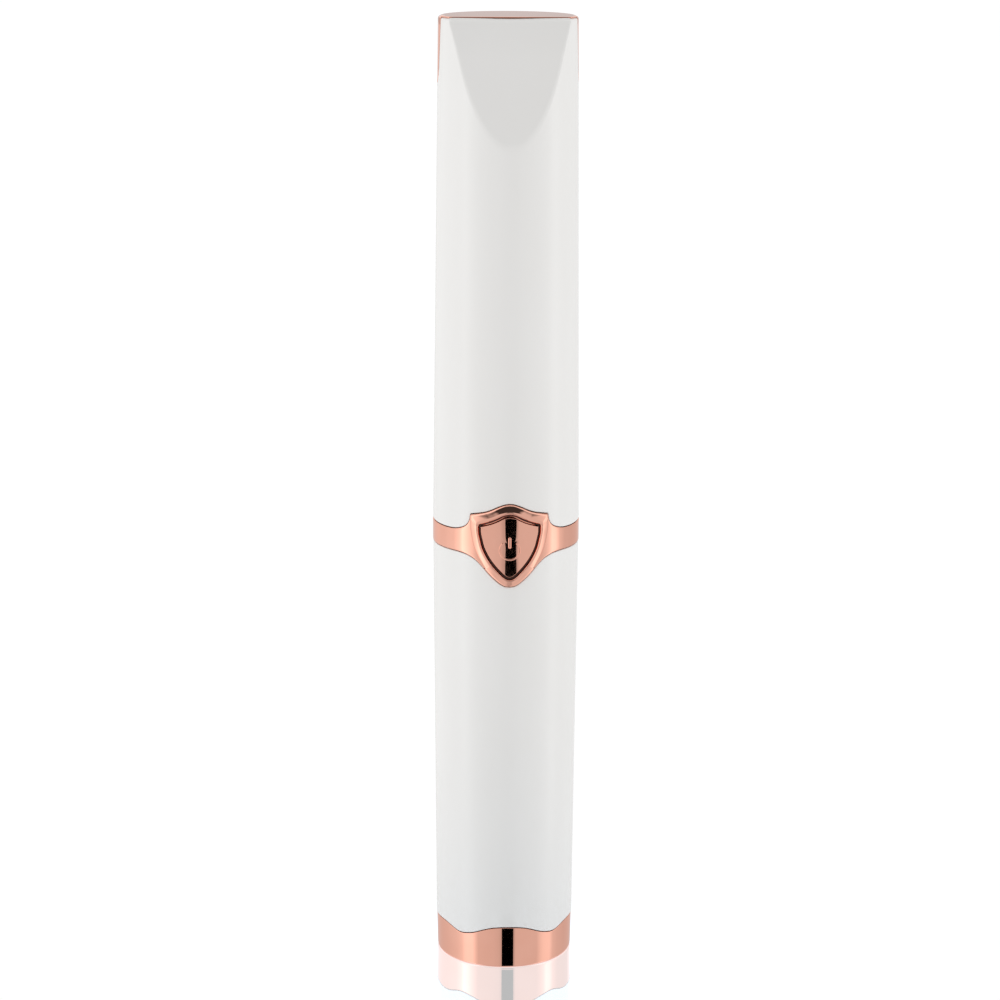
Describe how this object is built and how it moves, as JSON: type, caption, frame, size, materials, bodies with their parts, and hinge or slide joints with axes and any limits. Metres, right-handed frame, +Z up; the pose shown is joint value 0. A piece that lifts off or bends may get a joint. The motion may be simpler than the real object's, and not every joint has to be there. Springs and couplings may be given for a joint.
{
  "type": "heated eyelash curler",
  "caption": "Pen-shaped battery-heated eyelash curler: comb head with a heated bar under a pull-off cap, shield-shaped power button, pull-off battery base.",
  "frame": {"origin": "centre of the flat underside of the base cap", "axes": "+Z up along the pen towards the crown of the cap; the power button faces -Y; +X to the right when the button faces the viewer"},
  "size_m": [0.0202, 0.0207, 0.131],
  "materials": {
    "shell_white": "satin",
    "rose_gold": "polished",
    "inner_plastic": "matte",
    "charcoal_plastic": "satin",
    "silicone": "matte",
    "board_green": "satin",
    "chip_black": "satin",
    "led_clear": "gloss",
    "contact_metal": "satin",
    "screw_steel": "satin",
    "cell_wrap": "gloss",
    "heater_metal": "satin",
    "ceramic": "matte",
    "nichrome": "satin",
    "lead_red": "satin",
    "lead_black": "satin"
  },
  "bodies": {
    "base": {"base_cap": "rose_gold", "base_plug": "inner_plastic", "base_seal": "silicone", "negative_contact": "contact_metal", "negative_spring": "contact_metal", "battery_cell": "cell_wrap"},
    "handle": {"handle_shell": "shell_white", "collar_ring": "rose_gold", "neck_sleeve": "inner_plastic", "button_seal": "silicone", "battery_tube": "inner_plastic", "board_carrier": "inner_plastic", "control_board": "board_green", "board_screw_left": "screw_steel", "board_screw_right": "screw_steel", "tact_switch": "chip_black", "driver_chip": "chip_black", "indicator_led": "led_clear", "capacitor": "ceramic", "positive_contact": "contact_metal", "contact_strip": "contact_metal", "head_stem": "shell_white", "comb_frame": "charcoal_plastic", "comb_back": "charcoal_plastic", "heater_bar": "heater_metal", "heater_core": "ceramic", "heater_wire": "nichrome", "supply_lead": "lead_red", "return_lead_lower": "lead_black", "return_lead_upper": "lead_black", "thermal_fuse": "contact_metal", "head_screw_lower": "screw_steel", "head_screw_upper": "screw_steel"},
    "cap": {"cap_shell": "shell_white", "cap_crown": "rose_gold", "cap_liner": "inner_plastic"},
    "button": {"power_button": "rose_gold", "switch_plunger": "chip_black"}
  },
  "joints": [
    {"name": "base_pull", "type": "slide", "parent": "base", "child": "handle", "axis": [0, 0, 1], "range_m": [0, 0.055]},
    {"name": "cap_pull", "type": "slide", "parent": "handle", "child": "cap", "axis": [0, 0, 1], "range_m": [0, 0.07]},
    {"name": "button_press", "type": "slide", "parent": "handle", "child": "button", "axis": [0, 1, 0], "range_m": [0, 0.0004], "stiffness_N_per_m": 1500}
  ]
}
